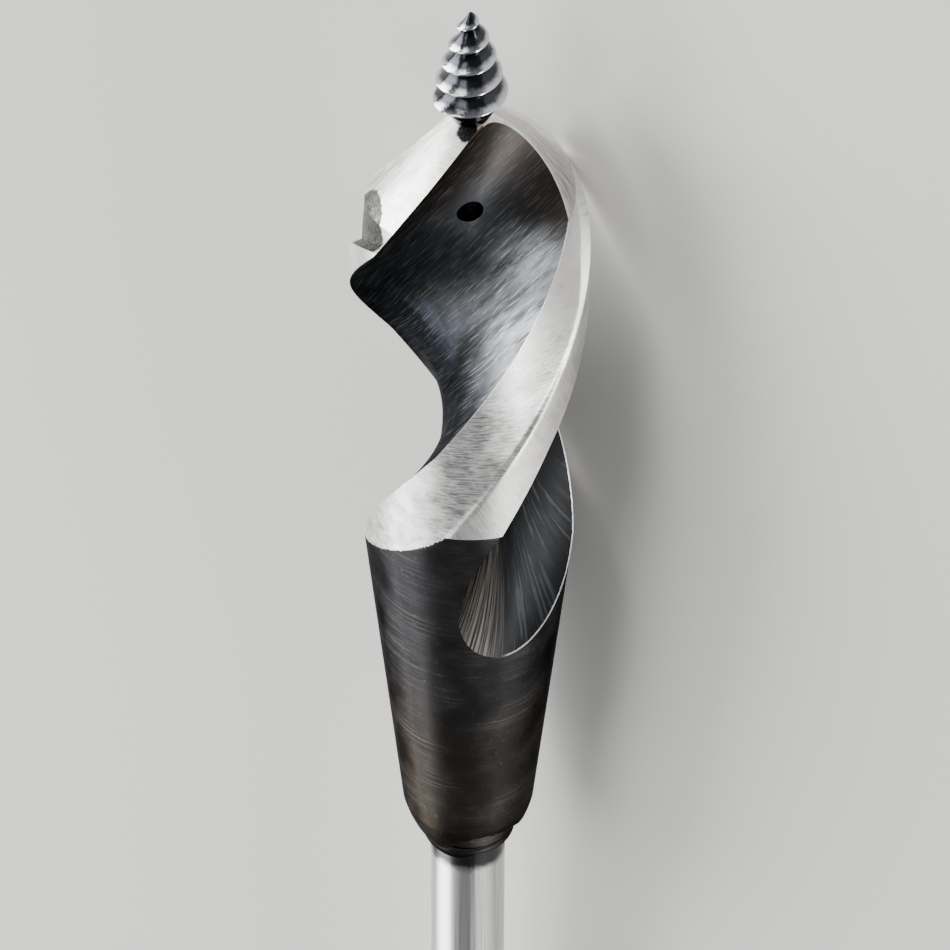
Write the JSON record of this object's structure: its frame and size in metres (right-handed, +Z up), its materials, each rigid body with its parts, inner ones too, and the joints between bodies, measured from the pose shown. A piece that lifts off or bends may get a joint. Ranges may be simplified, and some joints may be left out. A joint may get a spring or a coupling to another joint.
{
  "type": "flexible installer bit",
  "caption": "Boring bit for running wire through walls: a fluted steel head with a screw point and cutting lips, brazed onto a long, slim, springy shank.",
  "frame": {"origin": "on the floor, under the middle of the bit as it lies at rest", "axes": "+X from the shank's end to the screw point, +Z up, +Y to the side"},
  "size_m": [0.4572, 0.019, 0.0188],
  "materials": {
    "black_oxide_steel": "black oxide in the flutes and on the taper, bright ground lands and point",
    "bright_spring_steel": "bright centreless-ground rod"
  },
  "bodies": {
    "root": {"cutting_head": "black_oxide_steel", "flexible_shank": "bright_spring_steel"}
  },
  "joints": []
}
